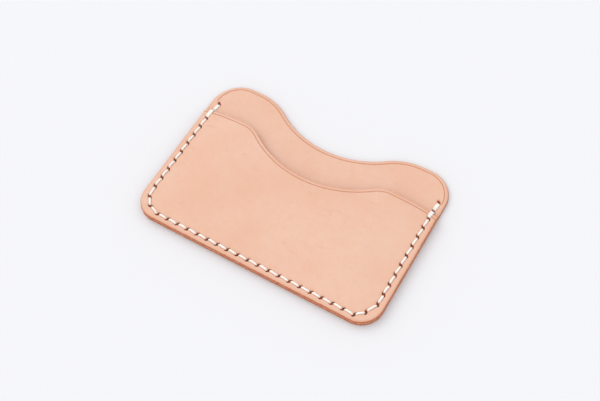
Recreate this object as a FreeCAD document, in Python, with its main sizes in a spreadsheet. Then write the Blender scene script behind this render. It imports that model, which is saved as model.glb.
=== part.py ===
import FreeCAD, Part
import math
import os

import Sketcher

# A flat leather card holder, in millimetres. It lies on its back: X runs along the
# width, +Y points to the open end of the pocket and +Z is up, towards the pocket side.
# The origin is under the middle of the outline, on the plane that the holder rests on.

doc = FreeCAD.newDocument("card_holder")
Vector = FreeCAD.Vector


# ---------------------------------------------------------------- driving dimensions

DIMENSIONS = [
    ("width", 93.0),                  # across the two side edges
    ("height", 63.1),                 # bottom edge to the top of the back panel's humps
    ("leather", 1.5),                 # thickness of each panel
    ("glue_film", 0.1),
    ("bottom_corner", 8.0),           # radius of the two bottom corners
    ("edge_round", 0.5),              # bevel of the burnished outer edges

    ("back_corner", 10.3),            # radius of the back panel's top corners
    ("back_notch_level", 52.7),       # thumb notch, measured up from the bottom edge
    ("back_notch_radius", 36.0),
    ("back_shoulder_radius", 21.6),

    ("mouth_level", 48.0),            # humps of the pocket's mouth, up from the bottom edge
    ("mouth_notch_level", 38.3),
    ("mouth_notch_radius", 38.7),
    ("mouth_shoulder_radius", 10.9),
    ("mouth_notch_shift", 0.6),       # the hand-cut notch sits a little to the left
    ("mouth_side_drop", 1.2),         # how far the mouth falls at the side edges
    ("mouth_side_radius", 45.0),

    ("card_space", 0.9),              # height of the space that the cards slide into
    ("card_space_inset", 3.3),        # its sides and floor, in from the outer edges
    ("card_space_corner", 4.0),
    ("ramp_start", 3.2),              # where the pocket's face starts to rise over it
    ("ramp_run", 6.0),
    ("ramp_corner", 6.5),
    ("trim_margin", 4.0),             # how far the raised blank runs past the mouth
    ("glue_inset", 0.2),
    ("glue_width", 3.0),
    ("glue_corner", 4.8),

    ("crease_inset", 1.3),            # creased line inside the wavy edges
    ("crease_width", 0.4),
    ("crease_depth", 0.2),

    ("stitch_pitch", 4.0),
    ("seam_inset_side", 2.5),         # stitch line to side edge
    ("seam_inset_bottom", 2.2),
    ("left_holes", 11),
    ("left_top_hole", 51.7),          # up from the bottom edge
    ("left_pitch", 4.08),
    ("bottom_holes", 20),
    ("bottom_row_shift", 1.1),        # the bottom row sits a little to the right
    ("right_holes", 12),
    ("right_top_hole", 52.9),
    ("right_pitch", 3.99),
    ("left_turn_in", 0.6),            # first hole of the left corner: in from the side row
    ("left_turn_up", 4.4),            # and up from the bottom row
    ("left_turn_last_in", 3.1),       # second hole of the left corner
    ("left_turn_last_up", 1.4),
    ("right_turn_in", 2.0),           # the right corner's only hole
    ("right_turn_up", 2.6),
    ("slit_length", 1.7),
    ("slit_width", 0.9),
    ("slit_angle", 45.0),             # slant of each slit to the seam
    ("thread_thick", 0.7),
    ("thread_gap", 0.05),             # clearance between the thread and the leather
    ("rear_channel", 2.0),            # width of the channel that sinks the rear stitches
]

sheet = doc.addObject("Spreadsheet::Sheet", "dims")
for row, (alias, value) in enumerate(DIMENSIONS, start=1):
    sheet.set("A%d" % row, alias)
    sheet.set("B%d" % row, str(value))
    sheet.setAlias("B%d" % row, alias)
doc.recompute()


def dim(alias):
    return float(getattr(sheet, alias))


TOLERANCE = 1e-4
MARGIN = 1.0                          # how far a cutter runs past the face it cuts


# ---------------------------------------------------------------- sketches and bodies

START, END, CENTRE = 1, 2, 3
ORIGIN = (-1, START)


def new_body(name):
    return doc.addObject("PartDesign::Body", name)


def new_sketch(body, name, height="0"):
    """A sketch on the body's XY plane, lifted to the height that an expression gives."""
    plane = next(item for item in body.Origin.OriginFeatures if item.Role == "XY_Plane")
    sketch = body.newObject("Sketcher::SketchObject", name)
    sketch.AttachmentSupport = [(plane, "")]
    sketch.MapMode = "FlatFace"
    sketch.setExpression("AttachmentOffset.Base.z", height)
    return sketch


def add_line(sketch, start, end):
    return sketch.addGeometry(Part.LineSegment(Vector(*start, 0), Vector(*end, 0)))


def add_arc(sketch, centre, radius, first_degrees, last_degrees):
    circle = Part.Circle(Vector(*centre, 0), Vector(0, 0, 1), radius)
    first, last = math.radians(first_degrees), math.radians(last_degrees)
    return sketch.addGeometry(Part.ArcOfCircle(circle, first, last))


def constrain(sketch, kind, *args):
    return sketch.addConstraint(Sketcher.Constraint(kind, *args))


def bind(sketch, kind, args, guess, expression):
    """A dimension of the sketch, driven by an expression on the sheet."""
    index = constrain(sketch, kind, *args, guess)
    sketch.setExpression("Constraints[%d]" % index, expression)


def chain(sketch, joints):
    """Joins end to start; each joint is (kind, first, its end, second, its end)."""
    for kind, first, first_end, second, second_end in joints:
        constrain(sketch, kind, first, first_end, second, second_end)


def level(sketch, geometry, end, guess, expression):
    """Height of a point above the bottom edge."""
    bottom = sketch_bottom[sketch.Name]
    bind(sketch, "DistanceY", (bottom, START, geometry, end), guess, expression)


sketch_bottom = {}


def bottom_half(sketch, side_top):
    """Bottom edge, both bottom corners and both side edges, which end at side_top."""
    half = dim("width") / 2
    low = -dim("height") / 2
    corner = dim("bottom_corner")
    bottom = add_line(sketch, (-half + corner, low), (half - corner, low))
    right_corner = add_arc(sketch, (half - corner, low + corner), corner, 270, 360)
    right = add_line(sketch, (half, low + corner), (half, side_top))
    left = add_line(sketch, (-half, side_top), (-half, low + corner))
    left_corner = add_arc(sketch, (-half + corner, low + corner), corner, 180, 270)
    chain(sketch, [
        ("Tangent", left, END, left_corner, START),
        ("Tangent", left_corner, END, bottom, START),
        ("Tangent", bottom, END, right_corner, START),
        ("Tangent", right_corner, END, right, START),
    ])
    constrain(sketch, "Horizontal", bottom)
    constrain(sketch, "Vertical", right)
    constrain(sketch, "Vertical", left)
    constrain(sketch, "Equal", left_corner, right_corner)
    bind(sketch, "Radius", (right_corner,), corner, "dims.bottom_corner")
    bind(sketch, "DistanceX", (*ORIGIN, right, START), half, "dims.width / 2")
    bind(sketch, "DistanceX", (left, END, *ORIGIN), half, "dims.width / 2")
    bind(sketch, "DistanceY", (bottom, START, *ORIGIN), -low, "dims.height / 2")
    sketch_bottom[sketch.Name] = bottom
    return left, right


def notch_reach(notch_radius, shoulder_radius, depth):
    """How far from the notch's middle the centres of its tangent shoulders lie."""
    span = notch_radius + shoulder_radius
    return math.sqrt(span**2 - (span - depth)**2)


def wave(sketch, hump, hump_expr, notch, notch_expr, radius, shoulder, shift, side_x):
    """The wavy edge: hump, shoulder, notch, shoulder, hump, all tangent.

    radius and shoulder are aliases; side_x is where each hump's flat ends. Returns the
    right and the left hump lines.
    """
    low = -dim("height") / 2
    r_notch, r_shoulder = dim(radius), dim(shoulder)
    reach = notch_reach(r_notch, r_shoulder, hump - notch)
    tilt = math.degrees(math.asin(reach / (r_notch + r_shoulder)))
    top, floor = low + hump, low + notch
    right_hump = add_line(sketch, (side_x, top), (reach - shift, top))
    right_shoulder = add_arc(sketch, (reach - shift, top - r_shoulder), r_shoulder,
                             90, 90 + tilt)
    bowl = add_arc(sketch, (-shift, floor + r_notch), r_notch, 270 - tilt, 270 + tilt)
    left_shoulder = add_arc(sketch, (-reach - shift, top - r_shoulder), r_shoulder,
                            90 - tilt, 90)
    left_hump = add_line(sketch, (-reach - shift, top), (-side_x, top))
    chain(sketch, [
        ("Tangent", right_hump, END, right_shoulder, START),
        ("Tangent", right_shoulder, END, bowl, END),
        ("Tangent", bowl, START, left_shoulder, START),
        ("Tangent", left_shoulder, END, left_hump, START),
    ])
    constrain(sketch, "Horizontal", right_hump)
    constrain(sketch, "Horizontal", left_hump)
    constrain(sketch, "Equal", left_shoulder, right_shoulder)
    bind(sketch, "Radius", (right_shoulder,), r_shoulder, "dims." + shoulder)
    bind(sketch, "Radius", (bowl,), r_notch, "dims." + radius)
    level(sketch, right_hump, START, hump, hump_expr)
    level(sketch, left_hump, START, hump, hump_expr)
    level(sketch, bowl, CENTRE, notch + r_notch, "%s + dims.%s" % (notch_expr, radius))
    return right_hump, left_hump, bowl


def back_outline(sketch):
    half, top, corner = dim("width") / 2, dim("height") / 2, dim("back_corner")
    left, right = bottom_half(sketch, top - corner)
    right_hump, left_hump, bowl = wave(
        sketch, dim("height"), "dims.height", dim("back_notch_level"),
        "dims.back_notch_level", "back_notch_radius", "back_shoulder_radius",
        0, half - corner)
    right_corner = add_arc(sketch, (half - corner, top - corner), corner, 0, 90)
    left_corner = add_arc(sketch, (-half + corner, top - corner), corner, 90, 180)
    chain(sketch, [
        ("Tangent", right, END, right_corner, START),
        ("Tangent", right_corner, END, right_hump, START),
        ("Tangent", left_hump, END, left_corner, START),
        ("Tangent", left_corner, END, left, START),
    ])
    constrain(sketch, "PointOnObject", bowl, CENTRE, -2)
    constrain(sketch, "Equal", left_corner, right_corner)
    bind(sketch, "Radius", (right_corner,), corner, "dims.back_corner")


def pocket_outline(sketch):
    half, low = dim("width") / 2, -dim("height") / 2
    drop, radius, mouth = dim("mouth_side_drop"), dim("mouth_side_radius"), dim("mouth_level")
    left, right = bottom_half(sketch, low + mouth - drop)
    sweep = math.degrees(math.acos(1 - drop / radius))
    side_x = half - radius * math.sin(math.radians(sweep))
    right_hump, left_hump, bowl = wave(
        sketch, mouth, "dims.mouth_level", dim("mouth_notch_level"),
        "dims.mouth_notch_level", "mouth_notch_radius", "mouth_shoulder_radius",
        dim("mouth_notch_shift"), side_x)
    centre_y = low + mouth - radius
    right_fall = add_arc(sketch, (side_x, centre_y), radius, 90 - sweep, 90)
    left_fall = add_arc(sketch, (-side_x, centre_y), radius, 90, 90 + sweep)
    chain(sketch, [
        ("Coincident", right, END, right_fall, START),
        ("Tangent", right_fall, END, right_hump, START),
        ("Tangent", left_hump, END, left_fall, START),
        ("Coincident", left_fall, END, left, START),
    ])
    constrain(sketch, "Equal", left_fall, right_fall)
    bind(sketch, "Radius", (right_fall,), radius, "dims.mouth_side_radius")
    bind(sketch, "DistanceX", (bowl, CENTRE, *ORIGIN), dim("mouth_notch_shift"),
         "dims.mouth_notch_shift")
    side_level = "dims.mouth_level - dims.mouth_side_drop"
    level(sketch, right, END, mouth - drop, side_level)
    level(sketch, left, START, mouth - drop, side_level)


def u_profile(sketch, insets, corner, top, top_expr):
    """Rounded rectangle inset from the sides and the bottom, square at its top.

    insets are the aliases that add up to its inset, and corner is its radius's alias.
    """
    inset = sum(dim(alias) for alias in insets)
    inset_expr = " + ".join("dims." + alias for alias in insets)
    radius = dim(corner)
    half = dim("width") / 2 - inset
    low = -dim("height") / 2 + inset
    high = -dim("height") / 2 + top
    bottom = add_line(sketch, (-half + radius, low), (half - radius, low))
    right_corner = add_arc(sketch, (half - radius, low + radius), radius, 270, 360)
    right = add_line(sketch, (half, low + radius), (half, high))
    lid = add_line(sketch, (half, high), (-half, high))
    left = add_line(sketch, (-half, high), (-half, low + radius))
    left_corner = add_arc(sketch, (-half + radius, low + radius), radius, 180, 270)
    chain(sketch, [
        ("Tangent", left, END, left_corner, START),
        ("Tangent", left_corner, END, bottom, START),
        ("Tangent", bottom, END, right_corner, START),
        ("Tangent", right_corner, END, right, START),
        ("Coincident", right, END, lid, START),
        ("Coincident", lid, END, left, START),
    ])
    for line in (bottom, lid):
        constrain(sketch, "Horizontal", line)
    for line in (right, left):
        constrain(sketch, "Vertical", line)
    constrain(sketch, "Equal", left_corner, right_corner)
    bind(sketch, "Radius", (right_corner,), radius, "dims." + corner)
    bind(sketch, "DistanceX", (*ORIGIN, right, START), half,
         "dims.width / 2 - (%s)" % inset_expr)
    bind(sketch, "DistanceX", (left, END, *ORIGIN), half,
         "dims.width / 2 - (%s)" % inset_expr)
    bind(sketch, "DistanceY", (bottom, START, *ORIGIN), -low,
         "dims.height / 2 - (%s)" % inset_expr)
    bind(sketch, "DistanceY", (*ORIGIN, lid, START), high,
         "%s - dims.height / 2" % top_expr)


def pad(body, name, sketch, length):
    feature = body.newObject("PartDesign::Pad", name)
    feature.Profile = sketch
    feature.setExpression("Length", length)
    sketch.Visibility = False
    doc.recompute()
    return feature


def round_edges(body, name, base, wanted):
    """Rounds the edges of the base feature that wanted(edge) picks."""
    names = ["Edge%d" % (i + 1) for i, edge in enumerate(base.Shape.Edges) if wanted(edge)]
    feature = body.newObject("PartDesign::Fillet", name)
    feature.Base = (base, names)
    feature.setExpression("Radius", "dims.edge_round")
    doc.recompute()
    return feature


def lies_at(edge, z):
    box = edge.BoundBox
    return abs(box.ZMin - z) < TOLERANCE and abs(box.ZMax - z) < TOLERANCE


# ---------------------------------------------------------------- seam

def seam_holes():
    """Hole centres down the left side, along the bottom and up the right side."""
    half, low = dim("width") / 2, -dim("height") / 2
    left_x = -half + dim("seam_inset_side")
    right_x = -left_x
    row_y = low + dim("seam_inset_bottom")
    row_half = (dim("bottom_holes") - 1) * dim("stitch_pitch") / 2
    holes = [(left_x, low + dim("left_top_hole") - i * dim("left_pitch"))
             for i in range(int(dim("left_holes")))]
    holes += [(left_x + dim("left_turn_in"), row_y + dim("left_turn_up")),
              (left_x + dim("left_turn_last_in"), row_y + dim("left_turn_last_up"))]
    holes += [(dim("bottom_row_shift") - row_half + i * dim("stitch_pitch"), row_y)
              for i in range(int(dim("bottom_holes")))]
    holes += [(right_x - dim("right_turn_in"), row_y + dim("right_turn_up"))]
    holes += [(right_x, low + dim("right_top_hole") - i * dim("right_pitch"))
              for i in reversed(range(int(dim("right_holes"))))]
    return [Vector(x, y, 0) for x, y in holes]


def slit_directions(holes):
    """Unit vector along each slit, slanted to the direction of the seam."""
    directions = []
    for i in range(len(holes)):
        travel = holes[min(i + 1, len(holes) - 1)] - holes[max(i - 1, 0)]
        travel.normalize()
        turn = FreeCAD.Rotation(Vector(0, 0, 1), dim("slit_angle"))
        directions.append(turn.multVec(travel))
    return directions


def slot_prism(centre, direction, length, width, bottom, top):
    """A prism with round ends, lying along direction and standing from bottom to top."""
    side = Vector(-direction.y, direction.x, 0) * (width / 2)
    reach = direction * (length / 2 - width / 2)
    tip = direction * (length / 2)
    a, b = centre + reach - side, centre + reach + side
    c, d = centre - reach + side, centre - reach - side
    edges = [Part.Arc(a, centre + tip, b).toShape(), Part.LineSegment(b, c).toShape(),
             Part.Arc(c, centre - tip, d).toShape(), Part.LineSegment(d, a).toShape()]
    face = Part.Face(Part.Wire(edges))
    face.translate(Vector(0, 0, bottom))
    return face.extrude(Vector(0, 0, top - bottom))


def capsule(start, end, radius):
    """A straight stitch with round ends."""
    run = end - start
    shape = Part.makeCylinder(radius, run.Length, start, run)
    for point in (start, end):
        shape = shape.fuse(Part.makeSphere(radius, point))
    return shape


holes = seam_holes()
slants = slit_directions(holes)
back_top = dim("leather")
pocket_bottom = back_top + dim("glue_film")
pocket_top = pocket_bottom + dim("leather")
total_top = pocket_top + dim("card_space")


def mouth_edge_y(x):
    """Where the pocket's mouth is, near its sides, at a distance x from the middle."""
    radius, drop = dim("mouth_side_radius"), dim("mouth_side_drop")
    sweep = math.acos(1 - drop / radius)
    run = x - (dim("width") / 2 - radius * math.sin(sweep))
    top = -dim("height") / 2 + dim("mouth_level")
    return top - (radius - math.sqrt(radius**2 - run**2))


def make_slit_cutter():
    """Every slit of the seam, through the whole thickness."""
    slits = [slot_prism(hole, slant, dim("slit_length"), dim("slit_width"),
                        -MARGIN, total_top + MARGIN)
             for hole, slant in zip(holes, slants)]
    cutter = doc.addObject("Part::Feature", "slits")
    cutter.Shape = Part.makeCompound(slits)
    return cutter


def make_channel_cutter():
    """The channel in the rear face, so that the rear stitches lie flush with it."""
    depth = dim("thread_thick") + dim("thread_gap")
    runs = [slot_prism((a + b) * 0.5, (b - a).normalize(), (b - a).Length + dim("rear_channel"),
                       dim("rear_channel"), -MARGIN, depth)
            for a, b in zip(holes, holes[1:])]
    cutter = doc.addObject("Part::Feature", "rear_channel")
    cutter.Shape = runs[0].multiFuse(runs[1:]).removeSplitter()
    return cutter


# ---------------------------------------------------------------- sub-parts

def on_circle(centre, radius, angle):
    return centre + Vector(math.cos(angle), math.sin(angle), 0) * radius


def arc_run(centre, radius, first, last):
    """An arc edge from one angle to another, in radians."""
    spots = [on_circle(centre, radius, angle) for angle in (first, (first + last) / 2, last)]
    return Part.Arc(*spots).toShape()


def crease_corner(crest, sign):
    """The crease past a hump of the back panel: round the top corner."""
    inset, corner = dim("crease_inset"), dim("back_corner")
    turn = Vector(sign * (dim("width") / 2 - corner), crest.y, 0)
    centre = turn - Vector(0, corner - inset, 0)
    return [Part.LineSegment(crest, turn).toShape(),
            arc_run(centre, corner - inset, math.pi / 2, math.pi / 2 * (1 - sign))]


def crease_fall(crest, sign):
    """The crease past a hump of the mouth: down and off the side edge."""
    radius = dim("mouth_side_radius")
    sweep = math.acos(1 - dim("mouth_side_drop") / radius)
    past_edge = 1.1
    turn = Vector(sign * (dim("width") / 2 - radius * math.sin(sweep)), crest.y, 0)
    centre = turn - Vector(0, radius - dim("crease_inset"), 0)
    last = math.pi / 2 - sign * sweep * past_edge
    return [Part.LineSegment(crest, turn).toShape(),
            arc_run(centre, radius - dim("crease_inset"), math.pi / 2, last)]


def crease_path(top, notch, radius, shoulder, shift, outer_run):
    """The creased line inside a wavy edge, as one wire of arcs and lines at height 0.

    outer_run gives the edges past each hump.
    """
    inset, low = dim("crease_inset"), -dim("height") / 2
    r_notch, r_shoulder = dim(radius) + inset, dim(shoulder) - inset
    reach = notch_reach(r_notch, r_shoulder, top - notch)
    tilt = math.asin(reach / (r_notch + r_shoulder))
    bowl_centre = Vector(-shift, low + notch - inset + r_notch, 0)
    edges = []
    for sign in (-1, 1):
        crest = Vector(sign * reach - shift, low + top - inset, 0)
        shoulder_centre = crest - Vector(0, r_shoulder, 0)
        edges += [arc_run(bowl_centre, r_notch, -math.pi / 2, sign * tilt - math.pi / 2),
                  arc_run(shoulder_centre, r_shoulder, math.pi / 2 + sign * tilt, math.pi / 2)]
        edges += outer_run(crest, sign)
    return Part.Wire(Part.__sortEdges__(edges))


def crease_band(name, path, panel):
    """A shallow band under the top face of the panel, along the path."""
    outer = path.makeOffset2D(dim("crease_width") / 2, 0, False, True)
    inner = path.makeOffset2D(-dim("crease_width") / 2, 0, False, True)
    ends = [Part.LineSegment(outer.OrderedVertexes[k].Point,
                             inner.OrderedVertexes[k].Point).toShape() for k in (0, -1)]
    face = Part.Face(Part.Wire(Part.__sortEdges__(outer.Edges + inner.Edges + ends)))
    prism = face.extrude(Vector(0, 0, total_top + MARGIN))
    sunk = panel.Shape.copy()
    sunk.translate(Vector(0, 0, -dim("crease_depth")))
    cutter = doc.addObject("Part::Feature", name)
    cutter.Shape = prism.cut(sunk)
    return cutter


def combine(kind, name, base, tool):
    feature = doc.addObject(kind, name)
    feature.Base = base
    feature.Tool = tool
    doc.recompute()
    return feature


def cut(name, base, tool):
    return combine("Part::Cut", name, base, tool)


def common(name, base, tool):
    return combine("Part::Common", name, base, tool)


def column(name, sketch):
    """The sketch's outline, carried up past the top of the pocket."""
    prism = doc.addObject("Part::Extrusion", name)
    prism.Base = sketch
    prism.DirMode = "Custom"
    prism.Dir = Vector(0, 0, 1)
    prism.Solid = True
    prism.setExpression("LengthFwd", "2 * dims.leather + dims.card_space")
    return prism


def make_back_panel(slits, channel):
    body = new_body("back_blank")
    sketch = new_sketch(body, "back_outline")
    back_outline(sketch)
    plate = pad(body, "back_plate", sketch, "dims.leather")
    mouth_side = -dim("height") / 2 + dim("mouth_level") - dim("mouth_side_drop")

    def bevelled(edge):
        if lies_at(edge, 0):
            return True
        return lies_at(edge, back_top) and edge.CenterOfMass.y > mouth_side

    round_edges(body, "back_bevel", plate, bevelled)
    pierced = cut("back_pierced", body, slits)
    channelled = cut("back_channelled", pierced, channel)
    path = crease_path(dim("height"), dim("back_notch_level"), "back_notch_radius",
                       "back_shoulder_radius", 0, crease_corner)
    crease = crease_band("back_crease", path, channelled)
    return cut("back_panel", channelled, crease)


def make_front_pocket(slits):
    """The pocket's leather as two nodes: the raised face over the card space, and the
    sewn margin round it, which meet along the walls of the card space."""
    body = new_body("pocket_blank")
    sketch = new_sketch(body, "mouth_outline", "dims.leather + dims.glue_film")
    pocket_outline(sketch)
    plate = pad(body, "pocket_plate", sketch, "dims.leather")

    def bevelled(edge):
        is_side = edge.BoundBox.XLength < TOLERANCE
        return lies_at(edge, pocket_top) and (is_side or edge.CenterOfMass.y < 0)

    round_edges(body, "pocket_bevel", plate, bevelled)
    past_mouth = dim("mouth_level") + dim("trim_margin")
    past_expr = "dims.mouth_level + dims.trim_margin"

    foot = new_sketch(body, "rise_foot", "2 * dims.leather + dims.glue_film")
    u_profile(foot, ["ramp_start"], "ramp_corner", past_mouth, past_expr)
    crown = new_sketch(body, "rise_top", "2 * dims.leather + dims.glue_film + dims.card_space")
    u_profile(crown, ["ramp_start", "ramp_run"], "ramp_corner", past_mouth, past_expr)
    doc.recompute()
    raised = body.newObject("PartDesign::AdditiveLoft", "raised_middle")
    raised.Profile = foot
    raised.Sections = [crown]
    raised.Ruled = True
    doc.recompute()

    floor = new_sketch(body, "card_outline", "dims.leather + dims.glue_film")
    u_profile(floor, ["card_space_inset"], "card_space_corner", past_mouth, past_expr)
    hollow = body.newObject("PartDesign::Pocket", "card_space")
    hollow.Profile = floor
    hollow.Reversed = True
    hollow.setExpression("Length", "dims.card_space")
    doc.recompute()
    assert hollow.Shape.Volume < raised.Shape.Volume

    formed = common("pocket_formed", body, column("mouth_trim", sketch))
    pierced = cut("pocket_pierced", formed, slits)
    path = crease_path(dim("mouth_level"), dim("mouth_notch_level"), "mouth_notch_radius",
                       "mouth_shoulder_radius", dim("mouth_notch_shift"), crease_fall)
    creased = cut("pocket_creased", pierced, crease_band("mouth_crease", path, pierced))
    over_cards = column("card_column", floor)
    return [common("front_pocket", creased, over_cards),
            cut("pocket_margin", creased, over_cards)]


def make_glue_film(slits):
    """The U of cement between the panels, inside the edge and outside the card space."""
    body = new_body("glue_blank")
    base = "dims.leather"
    outer = new_sketch(body, "glue_outer", base)
    top = dim("mouth_level") - dim("mouth_side_drop") - dim("glue_inset")
    top_expr = "dims.mouth_level - dims.mouth_side_drop - dims.glue_inset"
    u_profile(outer, ["glue_inset"], "bottom_corner", top, top_expr)
    film = pad(body, "glue_film", outer, "dims.glue_film")
    inner = new_sketch(body, "glue_inner", base)
    u_profile(inner, ["glue_inset", "glue_width"], "glue_corner", top + dim("trim_margin"),
              top_expr + " + dims.trim_margin")
    opening = body.newObject("PartDesign::Pocket", "glue_opening")
    opening.Profile = inner
    opening.Type = "ThroughAll"
    opening.Midplane = True
    doc.recompute()
    assert opening.Shape.Volume < film.Shape.Volume / 2
    return cut("glue_line", body, slits)


def make_thread():
    """One thread, sewn with a needle at each end: a stitch on both faces between holes.

    Each slit holds both halves of the thread. On either face a stitch leaves a slit at
    the far end of its slant and comes into the next one at the near end.
    """
    radius = dim("thread_thick") / 2
    gap = dim("thread_gap")
    front_level = pocket_top + gap + radius
    bare_level = back_top + gap + radius
    rear_level = radius + gap / 2
    slack = dim("slit_width") / 2 - radius
    reach = dim("slit_length") / 2 - slack - radius
    mouth_y = mouth_edge_y(dim("width") / 2 - dim("seam_inset_side"))
    edge_reach = 2 * radius       # a hole this near the mouth's edge holds a raised stitch

    def front_height(hole):
        return front_level if hole.y < mouth_y + edge_reach else bare_level

    shapes = [slot_prism(hole, slant, 2 * (reach + radius), 2 * radius,
                         rear_level, front_height(hole))
              for hole, slant in zip(holes, slants)]
    up = Vector(0, 0, 1)
    for i in range(len(holes) - 1):
        leave = holes[i] + slants[i] * reach
        arrive = holes[i + 1] - slants[i + 1] * reach
        shapes.append(capsule(leave + up * rear_level, arrive + up * rear_level, radius))
        start = leave + up * front_height(holes[i])
        finish = arrive + up * front_height(holes[i + 1])
        if arrive.y > mouth_y and leave.y > arrive.y:
            finish.z = bare_level
        if start.z == finish.z:
            shapes.append(capsule(start, finish, radius))
        else:
            share = (mouth_y + radius - 2 * gap - leave.y) / (arrive.y - leave.y)
            over = leave + (arrive - leave) * share
            over.z = front_level + gap
            shapes += [capsule(start, over, radius), capsule(over, finish, radius)]
    thread = doc.addObject("Part::Feature", "thread")
    thread.Shape = shapes[0].multiFuse(shapes[1:])
    return thread


# ---------------------------------------------------------------- checks and export

slits = make_slit_cutter()
channel = make_channel_cutter()
sub_parts = [make_back_panel(slits, channel), make_glue_film(slits),
             *make_front_pocket(slits), make_thread()]
doc.recompute()

for item in doc.Objects:
    if "Invalid" in item.State or "Error" in item.State:
        raise RuntimeError("%s failed: %s" % (item.Name, item.State))

os.makedirs("parts", exist_ok=True)
for part in sub_parts:
    shape = part.Shape
    if shape.isNull() or not shape.isValid() or len(shape.Solids) != 1:
        raise RuntimeError("%s is not one valid solid" % part.Label)
    shape.exportStep("parts/%s.step" % part.Label)
    box = shape.BoundBox
    print("%-14s %7.0f mm3  z %.2f to %.2f" % (part.Label, shape.Volume, box.ZMin, box.ZMax))
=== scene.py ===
import math

import bmesh
import bpy
import numpy as np
from mathutils import Matrix, Vector
from mathutils.geometry import delaunay_2d_cdt


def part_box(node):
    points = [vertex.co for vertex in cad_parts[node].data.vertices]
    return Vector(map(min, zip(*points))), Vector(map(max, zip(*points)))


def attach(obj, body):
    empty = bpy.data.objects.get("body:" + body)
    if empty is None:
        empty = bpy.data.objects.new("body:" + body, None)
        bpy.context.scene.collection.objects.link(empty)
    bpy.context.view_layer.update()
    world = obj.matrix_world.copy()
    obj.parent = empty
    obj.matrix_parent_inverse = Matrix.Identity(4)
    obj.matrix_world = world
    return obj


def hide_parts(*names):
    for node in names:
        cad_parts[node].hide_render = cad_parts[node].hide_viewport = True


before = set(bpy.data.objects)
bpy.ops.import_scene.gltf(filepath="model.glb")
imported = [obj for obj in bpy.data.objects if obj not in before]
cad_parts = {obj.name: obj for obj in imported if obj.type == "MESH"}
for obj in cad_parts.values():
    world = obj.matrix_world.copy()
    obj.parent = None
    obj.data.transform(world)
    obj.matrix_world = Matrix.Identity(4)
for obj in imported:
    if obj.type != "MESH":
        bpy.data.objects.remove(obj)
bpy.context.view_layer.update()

# ---------------------------------------------------------------- sizes, from the frame

MM = 0.001
BACK_LOW, BACK_HIGH = (Vector(corner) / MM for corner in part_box("back_panel"))
MARGIN_LOW, _ = (Vector(corner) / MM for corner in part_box("pocket_margin"))
_, POCKET_HIGH = (Vector(corner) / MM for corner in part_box("front_pocket"))

HALF = BACK_HIGH.x                     # half of the width
TOP = BACK_HIGH.y                      # highest point of the back panel's humps
LOW = BACK_LOW.y                       # bottom edge
LEATHER = BACK_HIGH.z
POCKET_FOOT = MARGIN_LOW.z             # underside of the pocket panel, on the glue
INTO_GLUE = 0.07                       # how far that underside is pressed into the glue
FLANGE = POCKET_FOOT + LEATHER         # its face along the seam
RISE = 0.80                            # how far its empty middle stands up at rest
RISE_START = 0.7                       # where it starts to rise, in from the seam
RISE_SIDE, RISE_FLOOR = 15, 18         # and how far it takes
MOUTH = POCKET_HIGH.y                  # highest point of the pocket's mouth

CORNER = 8.0                           # bottom corners
BACK_CORNER = 10.3                     # top corners of the back panel
BACK_WAVE = dict(top=TOP, floor=LOW + 52.7, bowl=36.0, shoulder=21.6, shift=0.0)
MOUTH_WAVE = dict(top=MOUTH, floor=LOW + 38.3, bowl=38.7, shoulder=10.9, shift=0.6)
MOUTH_DROP, MOUTH_FALL = 1.2, 45.0     # the mouth's drop at the sides, and its arc
CREASE_INSET = 1.3
EDGE_ROUND = 0.62
FLARE = 0.55                           # how far the back panel stands out above the pocket
OUTLINE_STEP, CREASE_STEP = 0.32, 0.3

SEAM_X, SEAM_Y = HALF - 2.5, LOW + 2.2
ROW_HOLES, ROW_PITCH, ROW_SHIFT = 20, 4.0, 1.1
LEFT_HOLES, LEFT_TOP, LEFT_PITCH = 11, LOW + 51.7, 4.08
RIGHT_HOLES, RIGHT_TOP, RIGHT_PITCH = 12, LOW + 52.9, 3.99
LEFT_TURN = ((0.6, 4.4), (3.1, 1.4))   # corner holes, in from the side row and up
RIGHT_TURN = (2.0, 2.6)                # from the bottom row
SLIT_REACH = 0.26                      # where the thread stands in a slit, from its middle
SLIT_HALF, SLIT_WIDE = 0.96, 0.44      # half of a slit's length and width
SLIT_SIDES = 14
THREAD_RADIUS = 0.34
SUNK = 0.20                            # how far a stitch is pulled into the leather


# ---------------------------------------------------------------- outlines

def arc(cx, cy, radius, first, last, step=0.5):
    """Points of an arc from first to last, in degrees, about step apart."""
    count = max(3, int(abs(math.radians(last - first)) * radius / step))
    angles = [math.radians(first + (last - first) * i / count) for i in range(count + 1)]
    return [(cx + radius * math.cos(a), cy + radius * math.sin(a)) for a in angles]


def wave_points(wave, inset=0.0):
    """The wavy edge from right to left, moved in by inset."""
    bowl, shoulder = wave["bowl"] + inset, wave["shoulder"] - inset
    top, floor = wave["top"] - inset, wave["floor"] - inset
    span = bowl + shoulder
    reach = math.sqrt(span ** 2 - (span - (top - floor)) ** 2)
    tilt = math.degrees(math.asin(reach / span))
    shift = -wave["shift"]
    return (arc(reach + shift, top - shoulder, shoulder, 90, 90 + tilt)
            + arc(shift, floor + bowl, bowl, 270 + tilt, 270 - tilt)
            + arc(-reach + shift, top - shoulder, shoulder, 90 - tilt, 90))


def mouth_fall(sign, inset=0.0, past=0.0):
    """The mouth's fall from its hump to the side edge, as points going outwards.

    sign is 1 on the right; past carries the arc on, in degrees.
    """
    sweep = math.degrees(math.acos(1 - MOUTH_DROP / MOUTH_FALL))
    centre = HALF - MOUTH_FALL * math.sin(math.radians(sweep))
    radius = MOUTH_FALL - inset
    points = arc(centre, MOUTH - MOUTH_FALL, radius, 90, 90 - sweep - past)
    return [(sign * x, y) for x, y in points]


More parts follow.
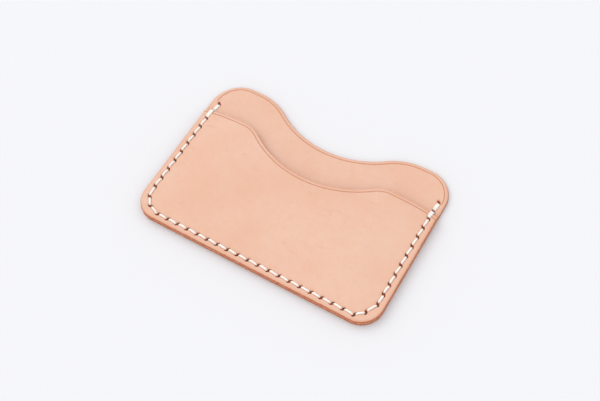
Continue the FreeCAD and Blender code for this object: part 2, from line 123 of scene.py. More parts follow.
def spaced(points, step, closed=True):
    """The line through points, divided into steps of an even length."""
    loop = np.array(points + points[:1] if closed else points)
    runs = np.hypot(*np.diff(loop, axis=0).T)
    keep = np.r_[True, runs > 1e-6]
    loop, runs = loop[keep], runs[runs > 1e-6]
    along = np.r_[0, np.cumsum(runs)]
    count = int(along[-1] / step)
    marks = np.linspace(0, along[-1], count, endpoint=not closed)
    return np.c_[np.interp(marks, along, loop[:, 0]), np.interp(marks, along, loop[:, 1])]


def flared(loop):
    """The back panel is a little wider above the pocket, on its left side."""
    above = smooth((loop[:, 1] - MOUTH + 3.5) / 3) * smooth((TOP - 4 - loop[:, 1]) / 8)
    loop[:, 0] -= FLARE * above * (loop[:, 0] < -HALF + 3)
    return loop


def low_corners():
    """Both bottom corners, from left to right."""
    return (arc(-HALF + CORNER, LOW + CORNER, CORNER, 180, 270)
            + arc(HALF - CORNER, LOW + CORNER, CORNER, 270, 360))


def back_outline():
    corner_x, corner_y = HALF - BACK_CORNER, TOP - BACK_CORNER
    return (low_corners() + arc(corner_x, corner_y, BACK_CORNER, 0, 90)
            + wave_points(BACK_WAVE) + arc(-corner_x, corner_y, BACK_CORNER, 90, 180))


def pocket_outline():
    return (low_corners() + mouth_fall(1)[::-1] + wave_points(MOUTH_WAVE)
            + mouth_fall(-1))


def back_crease():
    """The creased line round the back panel's top, as an open line."""
    corner_x, corner_y = HALF - BACK_CORNER, TOP - BACK_CORNER
    radius = BACK_CORNER - CREASE_INSET
    return (arc(corner_x, corner_y, radius, 0, 90) + wave_points(BACK_WAVE, CREASE_INSET)
            + arc(-corner_x, corner_y, radius, 90, 180))


def mouth_crease():
    """The creased line under the mouth, run 0.2 degrees past both side edges."""
    return (mouth_fall(1, CREASE_INSET, past=0.2)[::-1]
            + wave_points(MOUTH_WAVE, CREASE_INSET)
            + mouth_fall(-1, CREASE_INSET, past=0.2))


# ---------------------------------------------------------------- seam

def seam_holes():
    """Down the left side, along the bottom and up the right side."""
    holes = [(-SEAM_X, LEFT_TOP - i * LEFT_PITCH) for i in range(LEFT_HOLES)]
    holes += [(-SEAM_X + inward, SEAM_Y + up) for inward, up in LEFT_TURN]
    row_half = (ROW_HOLES - 1) * ROW_PITCH / 2
    holes += [(ROW_SHIFT - row_half + i * ROW_PITCH, SEAM_Y) for i in range(ROW_HOLES)]
    holes += [(SEAM_X - RIGHT_TURN[0], SEAM_Y + RIGHT_TURN[1])]
    holes += [(SEAM_X, RIGHT_TOP - (RIGHT_HOLES - 1 - i) * RIGHT_PITCH)
              for i in range(RIGHT_HOLES)]
    return np.array(holes)


def slit_slants(holes):
    """Unit vectors along the slits, at 45 degrees to the seam."""
    travel = np.empty_like(holes)
    travel[1:-1] = holes[2:] - holes[:-2]
    travel[0], travel[-1] = holes[1] - holes[0], holes[-1] - holes[-2]
    travel /= np.hypot(*travel.T)[:, None]
    left = np.c_[-travel[:, 1], travel[:, 0]]
    return (travel + left) / math.sqrt(2)


HOLES = seam_holes()
SLANTS = slit_slants(HOLES)
LEAVE, ARRIVE = HOLES + SLANTS * SLIT_REACH, HOLES - SLANTS * SLIT_REACH


# ---------------------------------------------------------------- distances and noise

def to_line(points, line, closed=False):
    """Distance from each point to the line through the points of line."""
    line = np.asarray(line)
    ends = np.roll(line, -1, axis=0) if closed else line[1:]
    starts = line if closed else line[:-1]
    best = np.full(len(points), 1e9)
    for a, b in zip(starts, ends):
        run = b - a
        share = np.clip(((points - a) @ run) / max(run @ run, 1e-12), 0, 1)
        near = a + share[:, None] * run
        best = np.minimum(best, np.hypot(*(points - near).T))
    return best


def inside(points, loop):
    """Which points lie inside the closed loop."""
    result = np.zeros(len(points), bool)
    x, y = points.T
    for a, b in zip(loop, np.roll(loop, -1, axis=0)):
        crosses = (a[1] > y) != (b[1] > y)
        rise = b[1] - a[1] if b[1] != a[1] else 1e-12
        result ^= crosses & (x < a[0] + (b[0] - a[0]) * (y - a[1]) / rise)
    return result


def smooth(x):
    """0 below 0, 1 above 1, and an S between them."""
    x = np.clip(x, 0, 1)
    return x * x * (3 - 2 * x)


def waver(points, size, seed):
    """A soft, even unevenness between -1 and 1, made of a few sine waves."""
    random = np.random.default_rng(seed)
    total = np.zeros(len(points))
    for _ in range(7):
        angle, phase = random.uniform(0, 2 * math.pi, 2)
        wave = 2 * math.pi / (size * random.uniform(0.7, 1.5))
        total += np.sin(points @ (wave * np.array([math.cos(angle), math.sin(angle)])) + phase)
    return total / 4


# ---------------------------------------------------------------- leather panels

RINGS = (0.0, 0.04, 0.13, 0.28, 0.45, 0.62, 0.85)   # rings of points inside the edge
GRID = 0.42
CREASE_SIDES = (-0.34, -0.17, 0, 0.17, 0.34)        # lines of points along a crease
STITCH_SIDES = (-0.45, -0.22, 0, 0.22, 0.45)        # and under each stitch
CELL = 0.1                             # points that share a cell of this size are merged

SWAY, SWAY_SIZE, SWAY_SEED = 0.05, 26, 4            # unevenness of a panel's face
CREASE_DEEP, CREASE_WIDE = 0.24, 0.14
LIP_HIGH, LIP_WIDE, LIP_AWAY = 0.07, 0.26, 0.48     # leather that the crease pushes up
REAR_ROUND = 0.5
HOLE_DENT, STITCH_DENT = (0.10, 1.1), (0.16, 0.45)  # depth and half width
SLIT_DEEP, REAR_SLIT_DEEP = 0.75, 0.5
REAR_PULL = 0.55 / 0.26                # pull of the rear stitches, in pulls of the face's
FADE = 0.5                             # width of the fades at the slits and the edge
WALL_LEVELS = (0.25, 0.5, 0.75)        # rings of points down the cut edge
WALL_BULGE = 0.10
FAR = 99.0                             # distance to a crease, where there is none


def inset_loop(loop, inset):
    """The loop moved inwards along its normals."""
    ahead, behind = np.roll(loop, -1, axis=0), np.roll(loop, 1, axis=0)
    tangent = ahead - behind
    tangent /= np.hypot(*tangent.T)[:, None]
    return loop + np.c_[-tangent[:, 1], tangent[:, 0]] * inset


def slit_points(offset):
    """Points round every slit, offset from its edge, to make its walls crisp."""
    points = []
    for hole, slant in zip(HOLES, SLANTS):
        side = np.array([-slant[1], slant[0]])
        for k in range(SLIT_SIDES):
            angle = 2 * math.pi * k / SLIT_SIDES
            points.append(hole + slant * (SLIT_HALF + offset) * math.cos(angle)
                          + side * (SLIT_WIDE + offset) * math.sin(angle))
    return np.array(points)


def panel_mesh(loop, crease, extra):
    """Flat triangles inside the loop, finer at the edge, the crease and the slits.

    Returns the points, the triangles and the index of each point of the loop.
    """
    rings = [inset_loop(loop, inset) for inset in RINGS]
    xs = np.arange(-HALF, HALF, GRID)
    ys = np.arange(LOW, TOP, GRID)
    gx, gy = np.meshgrid(xs, ys)
    gx[::2] += GRID / 2
    grid = np.c_[gx.ravel(), gy.ravel()]
    grid = grid[inside(grid, loop)]
    grid = grid[to_line(grid, loop[::3], True) > RINGS[-1] + 0.25]
    tangent = np.gradient(crease, axis=0)
    tangent /= np.hypot(*tangent.T)[:, None]
    normal = np.c_[-tangent[:, 1], tangent[:, 0]]
    grid = grid[to_line(grid, crease[::2]) > 0.5]
    fine = np.vstack([crease + normal * side for side in CREASE_SIDES] + extra)
    fine = fine[inside(fine, loop)]
    fine = fine[to_line(fine, loop[::3], True) > RINGS[-1] + 0.05]
    cells = {(round(x / CELL), round(y / CELL)): (x, y) for x, y in fine}
    points = np.vstack(rings + [np.array(list(cells.values())), grid])
    count = len(loop)
    edges = [(i, (i + 1) % count) for i in range(count)]
    verts, _, faces, origins, _, _ = delaunay_2d_cdt(
        [Vector(p) for p in points], edges, [], 1, 1e-5)
    flat = np.array([tuple(v) for v in verts])
    rim = [None] * count
    for index, sources in enumerate(origins):
        for source in sources:
            if source < count:
                rim[source] = index
    return flat, faces, rim


def edge_drop(distance, radius=EDGE_ROUND):
    """How far the bevelled edge falls, by distance in from the edge."""
    inner = np.clip(radius - distance, 0, radius)
    return 0.85 * (radius - np.sqrt(np.clip(radius ** 2 - inner ** 2, 0, None)))


def groove(distance, depth, half_width):
    """Depth of a soft groove, by distance from its middle."""
    return depth * np.exp(-(distance / half_width) ** 2)


def seam_dents(points):
    """How far the thread pulls the leather in, and how far each point is from a slit.

    The second value is 1 on the edge of a slit.
    """
    dent = np.zeros(len(points))
    slit = np.full(len(points), 1e9)
    for hole, slant in zip(HOLES, SLANTS):
        side = np.array([-slant[1], slant[0]])
        offset = points - hole
        along, across = offset @ slant, offset @ side
        slit = np.minimum(slit, np.hypot(along / SLIT_HALF, across / SLIT_WIDE))
        dent += groove(np.hypot(along, across), *HOLE_DENT)
    for a, b in zip(LEAVE[:-1], ARRIVE[1:]):
        dent += groove(to_line(points, [a, b]), *STITCH_DENT)
    return dent, slit


def pillow(points):
    """The pocket's middle stands up softly, all the way to its mouth."""
    x, y = np.abs(points[:, 0]), points[:, 1]
    side = smooth((SEAM_X - RISE_START - x) / RISE_SIDE)
    floor = smooth((y - SEAM_Y - RISE_START) / RISE_FLOOR)
    return RISE * side * floor


def add_attribute(mesh, name, values):
    layer = mesh.attributes.new(name, "FLOAT", "POINT")
    layer.data.foreach_set("value", np.asarray(values, dtype=np.float32))


def seam_points():
    """Points at every slit and along every stitch."""
    points = [slit_points(0), slit_points(0.12), slit_points(-0.1)]
    steps = np.linspace(0.1, 0.9, 11)[:, None]
    for side in STITCH_SIDES:
        for a, b in zip(LEAVE[:-1], ARRIVE[1:]):
            run = (b - a) / np.hypot(*(b - a))
            normal = np.array([-run[1], run[0]])
            points.append(a + (b - a) * steps + normal * side)
    return points


def edge_wall(verts, loop, face, rear, rim):
    """Adds rings of points down the cut edge to verts, and returns its quads."""
    outward = loop - inset_loop(loop, 1.0)
    walls = [rim]
    for share in WALL_LEVELS:
        ring = []
        swell = WALL_BULGE * 4 * share * (1 - share)
        for i, index in enumerate(rim):
            x, y = loop[i] + outward[i] * swell
            z = face[index] + (rear[index] - face[index]) * share
            ring.append(len(verts))
            verts.append((x * MM, y * MM, z * MM))
        walls.append(ring)
    walls.append([index + len(face) for index in rim])
    quads = []
    for upper, lower in zip(walls, walls[1:]):
        for i in range(len(rim)):
            j = (i + 1) % len(rim)
            quads.append((upper[i], lower[i], lower[j], upper[j]))
    return quads


def build_panel(name, loop, crease, face_z, rear_z, lift, rear_seam):
    """A leather panel: face and rear from one flat mesh, joined by a rounded edge."""
    flat, faces, rim = panel_mesh(loop, crease, seam_points())
    edge = to_line(flat, loop, True)
    edge[rim] = 0
    crease_line = to_line(flat, crease)
    dent, slit = seam_dents(flat)
    hole = smooth((1.25 - slit) / FADE)
    off_edge = smooth((edge - 0.2) / FADE)

    face = face_z + lift(flat) + waver(flat, SWAY_SIZE, SWAY_SEED) * SWAY * off_edge
    face -= edge_drop(edge)
    face -= groove(crease_line, CREASE_DEEP, CREASE_WIDE)
    face += groove(crease_line - LIP_AWAY, LIP_HIGH, LIP_WIDE)
    face -= dent * off_edge + SLIT_DEEP * hole
    rear = rear_z + lift(flat) + edge_drop(edge, REAR_ROUND)
    if rear_seam:
        rear += REAR_PULL * dent * off_edge + REAR_SLIT_DEEP * hole

    count = len(flat)
    verts = [(x * MM, y * MM, z * MM) for (x, y), z in zip(flat, face)]
    verts += [(x * MM, y * MM, z * MM) for (x, y), z in zip(flat, rear)]
    polygons = [tuple(f) for f in faces]
    polygons += [tuple(v + count for v in reversed(f)) for f in faces]
    polygons += edge_wall(verts, loop, face, rear, rim)

    mesh = bpy.data.meshes.new(name)
    mesh.from_pydata(verts, [], polygons)
    mesh.validate()
    wall = np.zeros(len(verts) - 2 * count)
    pulled = np.clip(dent / 0.2, 0, 1)
    add_attribute(mesh, "edge_mm", np.r_[edge, edge, wall])
    add_attribute(mesh, "crease_mm", np.r_[crease_line, np.full(count, FAR), wall + FAR])
    add_attribute(mesh, "slit", np.r_[hole, hole * rear_seam, wall])
    add_attribute(mesh, "pulled", np.r_[pulled, pulled * rear_seam, wall])
    add_attribute(mesh, "rear", np.r_[np.zeros(count), np.ones(count),
                                      np.repeat(WALL_LEVELS, len(rim))])
    obj = bpy.data.objects.new(name, mesh)
    bpy.context.scene.collection.objects.link(obj)
    mesh.shade_smooth()
    return obj


# ---------------------------------------------------------------- thread

THREAD_SIDES = 18
TWIST, FLATTEN = 0.52, 0.14            # turns per mm, and how flat a stitch is pulled
TAPER = 1.3                            # length of the thinner part at both ends
FACE_DIVE, REAR_DIVE = 1.0, 0.9        # how deep the ends of a stitch go into the slits
DIVE_RUN, OVER_DIVE_RUN = 1.15, 0.7    # and over what length
STITCH_POINTS, OVER_POINTS = 30, 40
DOUBLE_SPREAD = 0.30                   # half of the distance between doubled stitches
JITTER, BOW = 0.05, 0.04


def tube(path, radius, phase):
    """Points and faces of a twisted three-ply thread, and how deep each point lies."""
    path = np.asarray(path, float)
    sides, verts, faces = THREAD_SIDES, [], []
    tangent = np.gradient(path, axis=0)
    tangent /= np.linalg.norm(tangent, axis=1)[:, None]
    runs = np.r_[0, np.cumsum(np.linalg.norm(np.diff(path, axis=0), axis=1))]
    side = np.cross(tangent[0], (0.0, 0.0, 1.0))
    frames = []
    for t in tangent:
        side = side - t * (side @ t)
        side /= np.linalg.norm(side)
        frames.append((side.copy(), np.cross(side, t)))
    to_end = np.minimum(runs, runs[-1] - runs)
    taper = smooth(to_end / TAPER)
    for point, (across, lift), run, t, full in zip(path, frames, runs, tangent, taper):
        flat = 1 - FLATTEN * abs(1 - abs(t[2]))
        for k in range(sides):
            angle = 2 * math.pi * k / sides
            ply = abs(math.cos(1.5 * (angle + 2 * math.pi * run * TWIST + phase)))
            r = radius * (0.80 + 0.24 * ply ** 0.6) * (0.6 + 0.4 * full)
            verts.append(point + across * r * math.cos(angle) * (1 + 0.5 * (1 - flat))
                         + lift * r * math.sin(angle) * flat)
    for i in range(len(path) - 1):
        for k in range(sides):
            a, b = i * sides + k, i * sides + (k + 1) % sides
            faces.append((a, b, b + sides, a + sides))
    faces.append(tuple(range(sides))[::-1])
    faces.append(tuple(range((len(path) - 1) * sides, len(path) * sides)))
    return verts, faces, np.repeat(1 - smooth((to_end - 0.45) / 0.5), sides)


def stitch_path(a, b, za, zb, deep, side=1, bow=0.0):
    """A stitch from a to b that dives into the leather at both ends.

    za and zb are its heights there, before the dive. side is 1 on the face and -1 on
    the rear; bow bends it sideways.
    """
    a, b = np.asarray(a), np.asarray(b)
    length = np.hypot(*(b - a))
    run = (b - a) / length
    normal = np.array([-run[1], run[0]])
    points = []
    for share in np.linspace(0, 1, STITCH_POINTS):
        s = share * length
        near = min(s, length - s)
        rise = math.sin(min(near / DIVE_RUN, 1) * math.pi / 2)
        z = za + (zb - za) * smooth(np.array(share)) - side * deep * (1 - rise)
        xy = a + (b - a) * share + normal * bow * math.sin(math.pi * share)
        points.append((xy[0], xy[1], float(z)))
    return points


def pocket_edge_y(x):
    """Height of the mouth's edge near the sides."""
    sweep = math.acos(1 - MOUTH_DROP / MOUTH_FALL)
    run = abs(x) - (HALF - MOUTH_FALL * math.sin(sweep))
    return MOUTH - (MOUTH_FALL - math.sqrt(MOUTH_FALL ** 2 - run ** 2))


MOUTH_AT_SEAM = pocket_edge_y(SEAM_X)
ON_POCKET, ON_BACK = (level + THREAD_RADIUS - SUNK for level in (FLANGE, LEATHER))
ON_REAR = THREAD_RADIUS * 0.86 + 0.03  # heights of a stitch's middle


def over_mouth(a, b):
    """The stitch from a to b, one on the back panel and one past the mouth's edge."""
    low, high = (a, b) if a[1] > b[1] else (b, a)
    length = np.hypot(*(high - low))
    points = []
    for share in np.linspace(0, 1, OVER_POINTS):
        x, y = low + (high - low) * share
        climb = smooth(np.array((MOUTH_AT_SEAM + 1.0 - y) / 1.1))
        near = min(share, 1 - share) * length
        dip = 1 - math.sin(min(near / OVER_DIVE_RUN, 1) * math.pi / 2) ** 0.8
        z = ON_BACK + (ON_POCKET - ON_BACK) * float(climb) - FACE_DIVE * dip
        z += 0.12 * math.exp(-((y - MOUTH_AT_SEAM - 0.1) / 0.5) ** 2)
        points.append((x, y, z))
    return points if low is a else points[::-1]


def thread_paths():
    """Every stitch of the face and of the rear, with doubled ones at both ends."""
    random = np.random.default_rng(11)
    paths = []
    last = len(HOLES) - 2
    for i in range(len(HOLES) - 1):
        a, b = LEAVE[i], ARRIVE[i + 1]
        jitter = random.uniform(-JITTER, JITTER, 2)
        a, b = a + jitter, b - jitter
        doubled = i < 2 or i > last - 2
        run = (b - a) / np.hypot(*(b - a))
        normal = np.array([-run[1], run[0]])
        offsets = (-DOUBLE_SPREAD, DOUBLE_SPREAD) if doubled else (0.0,)
        for k, offset in enumerate(offsets):
            start = a + normal * offset * 0.9
            finish = b + normal * offset * 0.9
            crosses = (start[1] - MOUTH_AT_SEAM) * (finish[1] - MOUTH_AT_SEAM) < 0
            if crosses:
                path = over_mouth(start, finish)
            else:
                level = ON_BACK if a[1] > MOUTH_AT_SEAM else ON_POCKET
                path = stitch_path(start, finish, level + 0.05 * k, level, FACE_DIVE,
                                   bow=random.uniform(-BOW, BOW))
            paths.append((path, THREAD_RADIUS * random.uniform(0.96, 1.04)))
        paths.append((stitch_path(a, b, ON_REAR, ON_REAR, REAR_DIVE, side=-1),
                      THREAD_RADIUS * 0.92))
    return paths


def build_thread():
    """All the stitches as one mesh."""
    random = np.random.default_rng(5)
    verts, faces, deep = [], [], []
    for path, radius in thread_paths():
        points, polygons, depths = tube(path, radius, random.uniform(0, 6))
        offset = len(verts)
        verts += [tuple(point * MM) for point in points]
        faces += [tuple(index + offset for index in face) for face in polygons]
        deep += list(depths)
    mesh = bpy.data.meshes.new("waxed_thread")
    mesh.from_pydata(verts, [], faces)
    mesh.validate()
    # deep marks the thread's ends, where the material paints shade and reflected leather
    # colour
    add_attribute(mesh, "deep", deep)
    mesh.shade_smooth()
    obj = bpy.data.objects.new("waxed_thread", mesh)
    bpy.context.scene.collection.objects.link(obj)
    return obj


# ---------------------------------------------------------------- materials

class Nodes:
    """Short calls for building a node material."""

    def __init__(self, name):
        self.material = bpy.data.materials.new(name)
        self.material.use_nodes = True
        self.tree = self.material.node_tree
        self.tree.nodes.clear()
        self.output = self.add("ShaderNodeOutputMaterial")
        self.shader = self.add("ShaderNodeBsdfPrincipled")
        self.link(self.shader.outputs[0], self.output.inputs["Surface"])
        self.place = self.add("ShaderNodeTexCoord").outputs["Object"]

    def add(self, kind, **settings):
        node = self.tree.nodes.new(kind)
        for key, value in settings.items():
            setattr(node, key, value)
        return node

    def link(self, source, target):
        self.tree.links.new(source, target)

    def put(self, target, value):
        if isinstance(value, (int, float, tuple)):
            target.default_value = value
        else:
            self.link(value, target)

    def attribute(self, name):
        return self.add("ShaderNodeAttribute", attribute_name=name).outputs["Fac"]

    def noise(self, size_mm, detail=3.0, roughness=0.55, distortion=0.0, stretch=None):
        place = self.place
        if stretch:
            mapping = self.add("ShaderNodeMapping")
            mapping.inputs["Scale"].default_value = stretch
            self.link(place, mapping.inputs["Vector"])
            place = mapping.outputs[0]
        node = self.add("ShaderNodeTexNoise")
        self.link(place, node.inputs["Vector"])
        node.inputs["Scale"].default_value = 1000.0 / size_mm
        node.inputs["Detail"].default_value = detail
        node.inputs["Roughness"].default_value = roughness
        node.inputs["Distortion"].default_value = distortion
        return node.outputs["Fac"]

    def cells(self, size_mm, feature="DISTANCE_TO_EDGE"):
        node = self.add("ShaderNodeTexVoronoi", feature=feature)
        warp = self.add("ShaderNodeVectorMath", operation="ADD")
        self.link(self.place, warp.inputs[0])
        wobble = self.add("ShaderNodeTexNoise")
        self.link(self.place, wobble.inputs["Vector"])
        wobble.inputs["Scale"].default_value = 1000.0 / (size_mm * 2.5)
        scaled = self.add("ShaderNodeVectorMath", operation="SCALE")
        self.link(wobble.outputs["Color"], scaled.inputs[0])
        scaled.inputs["Scale"].default_value = size_mm * 0.001
        self.link(scaled.outputs[0], warp.inputs[1])
        self.link(warp.outputs[0], node.inputs["Vector"])
        node.inputs["Scale"].default_value = 1000.0 / size_mm
        return node.outputs["Distance"]

    def ramp(self, value, low, high, start=0.0, end=1.0):
        """value between low and high, mapped smoothly to start..end."""
        node = self.add("ShaderNodeMapRange", interpolation_type="SMOOTHSTEP")
        self.link(value, node.inputs["Value"])
        node.inputs["From Min"].default_value = low
        node.inputs["From Max"].default_value = high
        node.inputs["To Min"].default_value = start
        node.inputs["To Max"].default_value = end
        return node.outputs["Result"]

    def math(self, operation, a, b=0.0):
        node = self.add("ShaderNodeMath", operation=operation)
        self.put(node.inputs[0], a)
        self.put(node.inputs[1], b)
        return node.outputs[0]

    def mix(self, factor, a, b, blend="MIX"):
        node = self.add("ShaderNodeMix", data_type="RGBA", blend_type=blend)
        self.put(node.inputs["Factor"], factor)
        self.put(node.inputs[6], a)
        self.put(node.inputs[7], b)
        return node.outputs[2]

    def bump(self, value, distance_mm, strength=1.0, base=None):
        node = self.add("ShaderNodeBump")
        node.inputs["Distance"].default_value = distance_mm * MM
        node.inputs["Strength"].default_value = strength
        self.link(value, node.inputs["Height"])
        if base is not None:
            self.link(base, node.inputs["Normal"])
        return node.outputs["Normal"]


def srgb(red, green, blue):
    """Linear colour from 0-255 screen values."""
    def linear(value):
        value /= 255.0
        return value / 12.92 if value <= 0.04045 else ((value + 0.055) / 1.055) ** 2.4
    return (linear(red), linear(green), linear(blue), 1.0)


GRAIN_COLOUR = srgb(227, 184, 160)
GRAIN_WARM = srgb(223, 173, 144)
GRAIN_PALE = srgb(231, 193, 173)
CREASE_COLOUR = srgb(200, 122, 76)
EDGE_COLOUR = srgb(184, 102, 62)
EDGE_RUB = srgb(212, 142, 102)
# dark streaks on the burnished edge, and the painted shade at the bottom of the cut edge
EDGE_STREAK_AND_SHADE = srgb(118, 60, 34)
SLIT_COLOUR = srgb(168, 90, 52)
FLESH_COLOUR = srgb(214, 176, 146)
FLESH_FIBRE = srgb(190, 146, 114)
THREAD_COLOUR = srgb(248, 245, 240)
THREAD_SHADE = srgb(222, 208, 193)
THREAD_PALE = srgb(250, 247, 242)
GLUE_COLOUR = srgb(122, 78, 48)
GLUE_DARK = srgb(92, 56, 34)


def leather_material(name, flesh_on_rear):
    """Natural leather; the panel's own attributes say where its crease, edge and slits are."""
    n = Nodes(name)
    broad, middle = n.noise(22, 4), n.noise(5, 4)
    fine = n.noise(0.9, 4, 0.6)
    colour = n.mix(n.ramp(broad, 0.30, 0.70, 0.25, 0.75), GRAIN_WARM, GRAIN_PALE)
    colour = n.mix(n.ramp(middle, 0.35, 0.7, 0, 0.45), colour, GRAIN_COLOUR)
    colour = n.mix(n.ramp(n.noise(2.4, 5, 0.65), 0.45, 0.7, 0, 0.30), colour, GRAIN_WARM)
    colour = n.mix(n.ramp(fine, 0.3, 0.75, 0.0, 0.26), colour, GRAIN_WARM)
    pores = n.cells(0.55, "F1")
    colour = n.mix(n.ramp(pores, 0.0, 0.22, 0.16, 0), colour, CREASE_COLOUR)

    # growth wrinkles and a few faint rubs, long and thin
    wrinkle = n.noise(9, 5, 0.62, 0.6, stretch=(1.0, 3.4, 1.0))
    colour = n.mix(n.ramp(wrinkle, 0.60, 0.76, 0, 0.20), colour, CREASE_COLOUR)

    crease = n.attribute("crease_mm")
    edge = n.attribute("edge_mm")
    slit = n.attribute("slit")
    colour = n.mix(n.ramp(crease, 0.04, 0.23, 0.80, 0), colour, CREASE_COLOUR)
    colour = n.mix(n.ramp(edge, 0.30, 1.1, 0.20, 0), colour, CREASE_COLOUR)
    colour = n.mix(n.math("MULTIPLY", n.attribute("pulled"), 0.22), colour, CREASE_COLOUR)

    rear = n.attribute("rear")
    if flesh_on_rear:
        fibre = n.noise(0.6, 6, 0.7, 1.2, stretch=(1.0, 0.45, 1.0))
        clump = n.noise(3.5, 4)
        flesh = n.mix(n.ramp(fibre, 0.32, 0.68), FLESH_FIBRE, FLESH_COLOUR)
        flesh = n.mix(n.ramp(clump, 0.3, 0.7, 0.0, 0.4), flesh, GRAIN_PALE)
        colour = n.mix(n.ramp(rear, 0.8, 0.95), colour, flesh)

    # burnished edge: dark and glossy, rubbed paler in places, with dark streaks, and painted
    # shade towards the bottom of the cut edge
    rub = n.noise(1.6, 4, 0.6, 0.5)
    streak = n.noise(0.35, 3, 0.6, stretch=(0.25, 0.25, 2.2))
    burnish_and_shade = n.mix(n.ramp(rub, 0.45, 0.75, 0, 0.55), EDGE_COLOUR, EDGE_RUB)
    burnish_and_shade = n.mix(n.ramp(streak, 0.5, 0.8, 0, 0.35), burnish_and_shade, EDGE_STREAK_AND_SHADE)
    # painted shade: the cut edge darkens towards its bottom and onto the rear
    burnish_and_shade = n.mix(n.ramp(rear, 0.3, 0.95, 0, 0.6), burnish_and_shade, EDGE_STREAK_AND_SHADE)
    ragged = n.math("ADD", edge, n.ramp(fine, 0.3, 0.7, -0.08, 0.08))
    on_edge = n.ramp(ragged, 0.03, 0.24, 1, 0)
    colour = n.mix(on_edge, colour, burnish_and_shade)
    colour = n.mix(n.ramp(slit, 0.2, 0.6, 0, 0.97), colour, SLIT_COLOUR)

    n.put(n.shader.inputs["Base Color"], colour)
    gloss = n.ramp(fine, 0.3, 0.7, 0.50, 0.60)
    gloss = n.math("SUBTRACT", gloss, n.math("MULTIPLY", on_edge, 0.16))
    gloss = n.math("ADD", gloss, n.math("MULTIPLY", slit, 0.35))
    if flesh_on_rear:
        gloss = n.math("ADD", gloss, n.ramp(rear, 0.7, 0.9, 0, 0.3))
    n.put(n.shader.inputs["Roughness"], gloss)
    n.shader.inputs["Specular IOR Level"].default_value = 0.38
    n.shader.inputs["Subsurface Weight"].default_value = 0.06
    n.shader.inputs["Subsurface Scale"].default_value = 0.8 * MM
    n.shader.inputs["Subsurface Radius"].default_value = (1.0, 0.45, 0.25)

    pebble = n.bump(n.cells(0.42), 0.035, 0.35)
    coarse = n.bump(n.cells(1.1), 0.05, 0.22, pebble)
    lines = n.bump(wrinkle, 0.10, 0.30, coarse)
    normal = n.bump(fine, 0.05, 0.35, lines)
    if flesh_on_rear:
        nap = n.math("MULTIPLY", fibre, n.ramp(rear, 0.7, 0.9))
        normal = n.bump(nap, 0.16, 0.8, normal)
    n.put(n.shader.inputs["Normal"], normal)
    return n.material


def thread_material():
    """Waxed linen, with painted shade and painted reflected leather colour where it goes into
    the slits.
    """
    n = Nodes("waxed_linen")
    soft, fine = n.noise(2.2, 4), n.noise(0.16, 4, 0.65, 0.4)
    colour = n.mix(n.ramp(soft, 0.35, 0.7), THREAD_COLOUR, THREAD_PALE)
    colour = n.mix(n.ramp(fine, 0.35, 0.7, 0.35, 0), colour, THREAD_SHADE)
    # painted shade and reflection: the thread turns slit brown towards its ends, where it
    # dives into the slits
    colour = n.mix(n.ramp(n.attribute("deep"), 0.1, 0.9, 0, 0.92), colour, SLIT_COLOUR)
    n.put(n.shader.inputs["Base Color"], colour)
    n.put(n.shader.inputs["Roughness"], n.ramp(fine, 0.3, 0.7, 0.42, 0.62))
    n.shader.inputs["Subsurface Weight"].default_value = 0.15
    n.shader.inputs["Subsurface Scale"].default_value = 0.4 * MM
    n.shader.inputs["Sheen Weight"].default_value = 0.15
    n.put(n.shader.inputs["Normal"], n.bump(fine, 0.05, 0.55))
    return n.material


def glue_material():
    n = Nodes("dried_cement")
    clump = n.noise(0.9, 5, 0.6)
    colour = n.mix(n.ramp(clump, 0.35, 0.7), GLUE_COLOUR, GLUE_DARK)
    n.put(n.shader.inputs["Base Color"], colour)
    n.put(n.shader.inputs["Roughness"], n.ramp(clump, 0.3, 0.7, 0.55, 0.75))
    n.put(n.shader.inputs["Normal"], n.bump(clump, 0.05, 0.5))
    return n.material


# ---------------------------------------------------------------- pieces

def no_lift(points):
    return np.zeros(len(points))


def make_pieces():
    back = build_panel("back_leather", flared(spaced(back_outline(), OUTLINE_STEP)),
                       spaced(back_crease(), CREASE_STEP, closed=False),
                       LEATHER, 0.0, no_lift, rear_seam=True)
    pocket = build_panel("pocket_leather", spaced(pocket_outline(), OUTLINE_STEP),
                         spaced(mouth_crease(), CREASE_STEP, closed=False),
                         FLANGE, POCKET_FOOT - INTO_GLUE, pillow, rear_seam=False)
    thread = build_thread()
    back.data.materials.append(leather_material("back_grain", True))
    pocket.data.materials.append(leather_material("pocket_grain", True))
    thread.data.materials.append(thread_material())
    for piece, nodes, slot in ((back, ["back_panel"], "leather"),
                               (pocket, ["front_pocket", "pocket_margin"], "leather"),
                               (thread, ["thread"], "thread")):
        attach(piece, "root")
        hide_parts(*nodes)
    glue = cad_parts["glue_line"]
    glue.data.materials.clear()
    glue.data.materials.append(glue_material())


# ---------------------------------------------------------------- studio

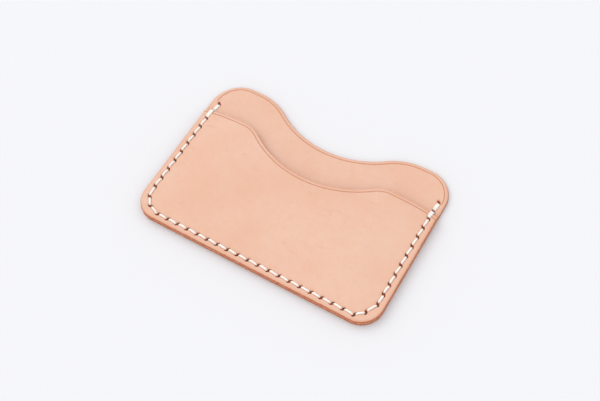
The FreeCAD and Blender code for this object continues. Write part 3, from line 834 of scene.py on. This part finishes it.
def make_floor():
    """A pale table top."""
    bm = bmesh.new()
    bmesh.ops.create_grid(bm, x_segments=8, y_segments=8, size=1.5)
    mesh = bpy.data.meshes.new("table_top")
    bm.to_mesh(mesh)
    bm.free()
    floor = bpy.data.objects.new("table_top", mesh)
    bpy.context.scene.collection.objects.link(floor)
    n = Nodes("white_table")
    n.shader.inputs["Base Color"].default_value = (0.80, 0.80, 0.815, 1)
    n.shader.inputs["Roughness"].default_value = 0.75
    n.shader.inputs["Specular IOR Level"].default_value = 0.2
    mesh.materials.append(n.material)


def soft_sun(name, azimuth, elevation, strength, spread, colour):
    """Light from far off; azimuth turns from the -Y side towards +X, in degrees."""
    light = bpy.data.lights.new(name, "SUN")
    light.energy, light.color = strength, colour
    light.angle = math.radians(spread)
    obj = bpy.data.objects.new(name, light)
    turn, rise = math.radians(azimuth), math.radians(elevation)
    away = Vector((math.sin(turn) * math.cos(rise), -math.cos(turn) * math.cos(rise),
                   math.sin(rise)))
    obj.rotation_euler = away.to_track_quat("Z", "Y").to_euler()
    bpy.context.scene.collection.objects.link(obj)


def make_light():
    """A bright room, with a soft window on the left and a softer light in front."""
    world = bpy.data.worlds.new("studio")
    world.use_nodes = True
    background = world.node_tree.nodes["Background"]
    background.inputs["Color"].default_value = (0.99, 0.995, 1.01, 1)
    background.inputs["Strength"].default_value = 0.97
    bpy.context.scene.world = world
    soft_sun("window", -105, 42, 0.62, 45, (1.0, 0.99, 0.98))
    soft_sun("front_fill", -20, 40, 0.30, 80, (1.0, 1.0, 1.0))


def make_camera():
    """The camera looks down on the pocket side from the lower right."""
    azimuth, elevation, roll = math.radians(34.79), math.radians(59.74), math.radians(-5.12)
    distance, target = 340.9, Vector((2.85, -1.56, 3.1))
    flat = math.cos(elevation)
    away = Vector((math.sin(azimuth) * flat, -math.cos(azimuth) * flat, math.sin(elevation)))
    camera = bpy.data.cameras.new("camera")
    camera.lens, camera.sensor_width = 60.16, 36.0
    camera.clip_start = 0.01
    obj = bpy.data.objects.new("camera", camera)
    turn = away.to_track_quat("Z", "Y").to_matrix().to_4x4()
    spin = Matrix.Rotation(roll, 4, "Z")
    obj.matrix_world = Matrix.Translation((target + away * distance) * MM) @ turn @ spin
    bpy.context.scene.collection.objects.link(obj)
    bpy.context.scene.camera = obj


make_pieces()
make_floor()
make_light()
make_camera()
bpy.context.scene.view_settings.view_transform = "Standard"
